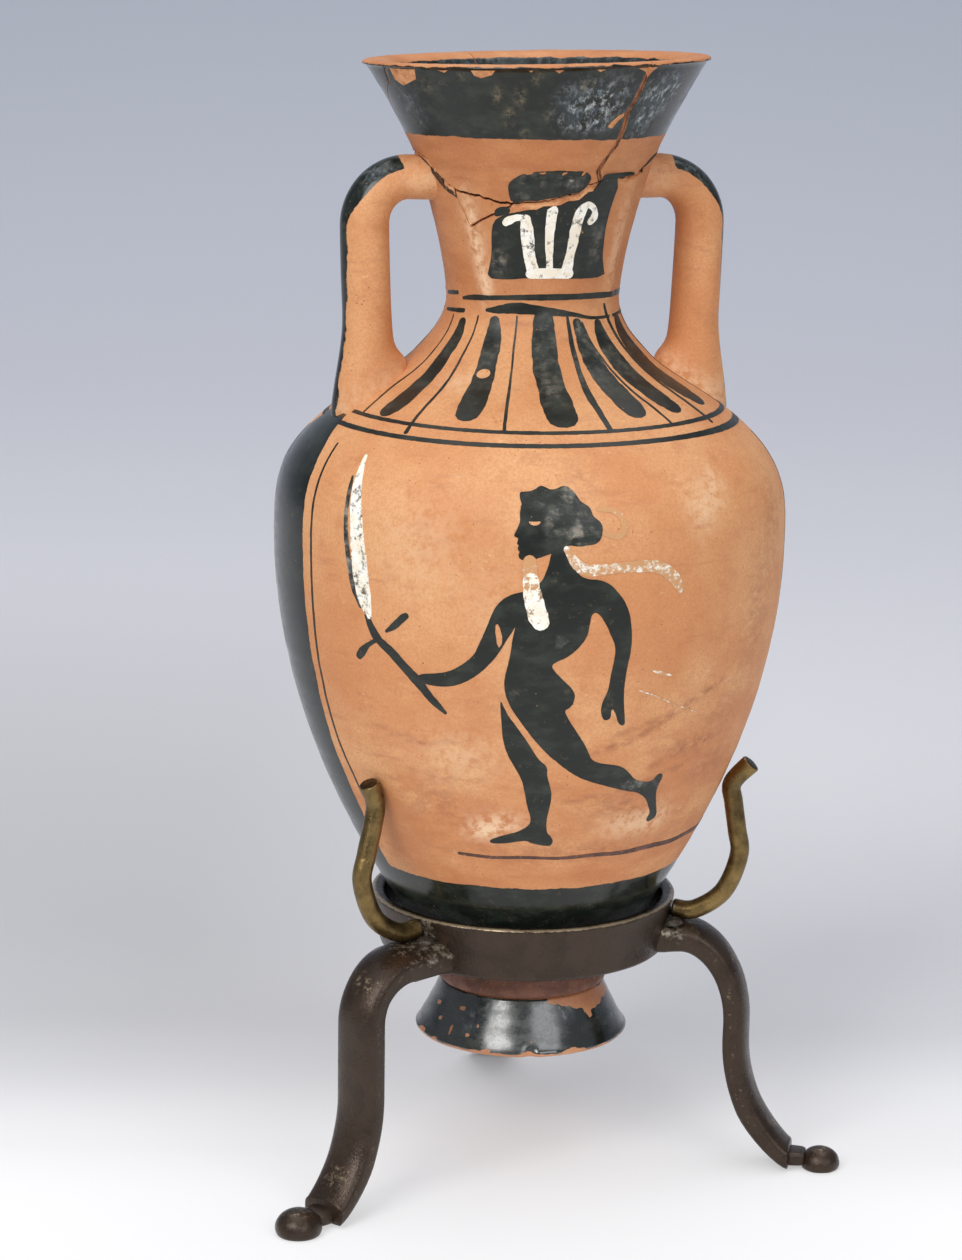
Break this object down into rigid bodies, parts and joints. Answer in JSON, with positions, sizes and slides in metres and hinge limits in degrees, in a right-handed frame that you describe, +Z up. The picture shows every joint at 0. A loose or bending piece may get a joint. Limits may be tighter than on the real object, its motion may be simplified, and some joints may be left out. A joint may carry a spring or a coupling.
{
  "type": "amphora on tripod stand",
  "caption": "Small two-handled clay amphora with a flared mouth, mended at the neck, standing in a bronze tripod ring whose prongs cradle the belly; it lifts out.",
  "frame": {"origin": "middle of the footprint's bounding box, on the floor under the toes", "axes": "+Z up along the amphora's axis, handles along X, painted front towards -Y"},
  "size_m": [0.0548, 0.0542, 0.1028],
  "materials": {
    "clay": "matt fired clay, partly painted",
    "slip": "black slip with a soft sheen",
    "earth_red": "matt red-brown slip",
    "bronze": "dark brown patina, worn at the edges",
    "brass": "dull worn brass",
    "solder": "rough grey solder"
  },
  "bodies": {
    "stand": {"stand_ring": "bronze", "leg_left": "bronze", "toe_neck_left": "bronze", "toe_left": "bronze", "prong_left": "brass", "solder_left_first": "solder", "solder_left_second": "solder", "leg_right": "bronze", "toe_neck_right": "bronze", "toe_right": "bronze", "prong_right": "brass", "solder_right_first": "solder", "solder_right_second": "solder", "leg_back": "bronze", "toe_neck_back": "bronze", "toe_back": "bronze", "prong_back": "brass", "solder_back_first": "solder", "solder_back_second": "solder"},
    "vessel": {"body": "clay", "foot": "slip", "foot_fillet": "earth_red", "neck": "clay", "neck_sherd": "clay", "mouth_front": "slip", "mouth_right": "slip", "mouth_back": "slip", "handle_left": "clay", "handle_right": "clay"}
  },
  "joints": [
    {"name": "vessel_lift", "type": "slide", "parent": "stand", "child": "vessel", "axis": [0, 0, 1], "range_m": [0, 0.045]}
  ]
}
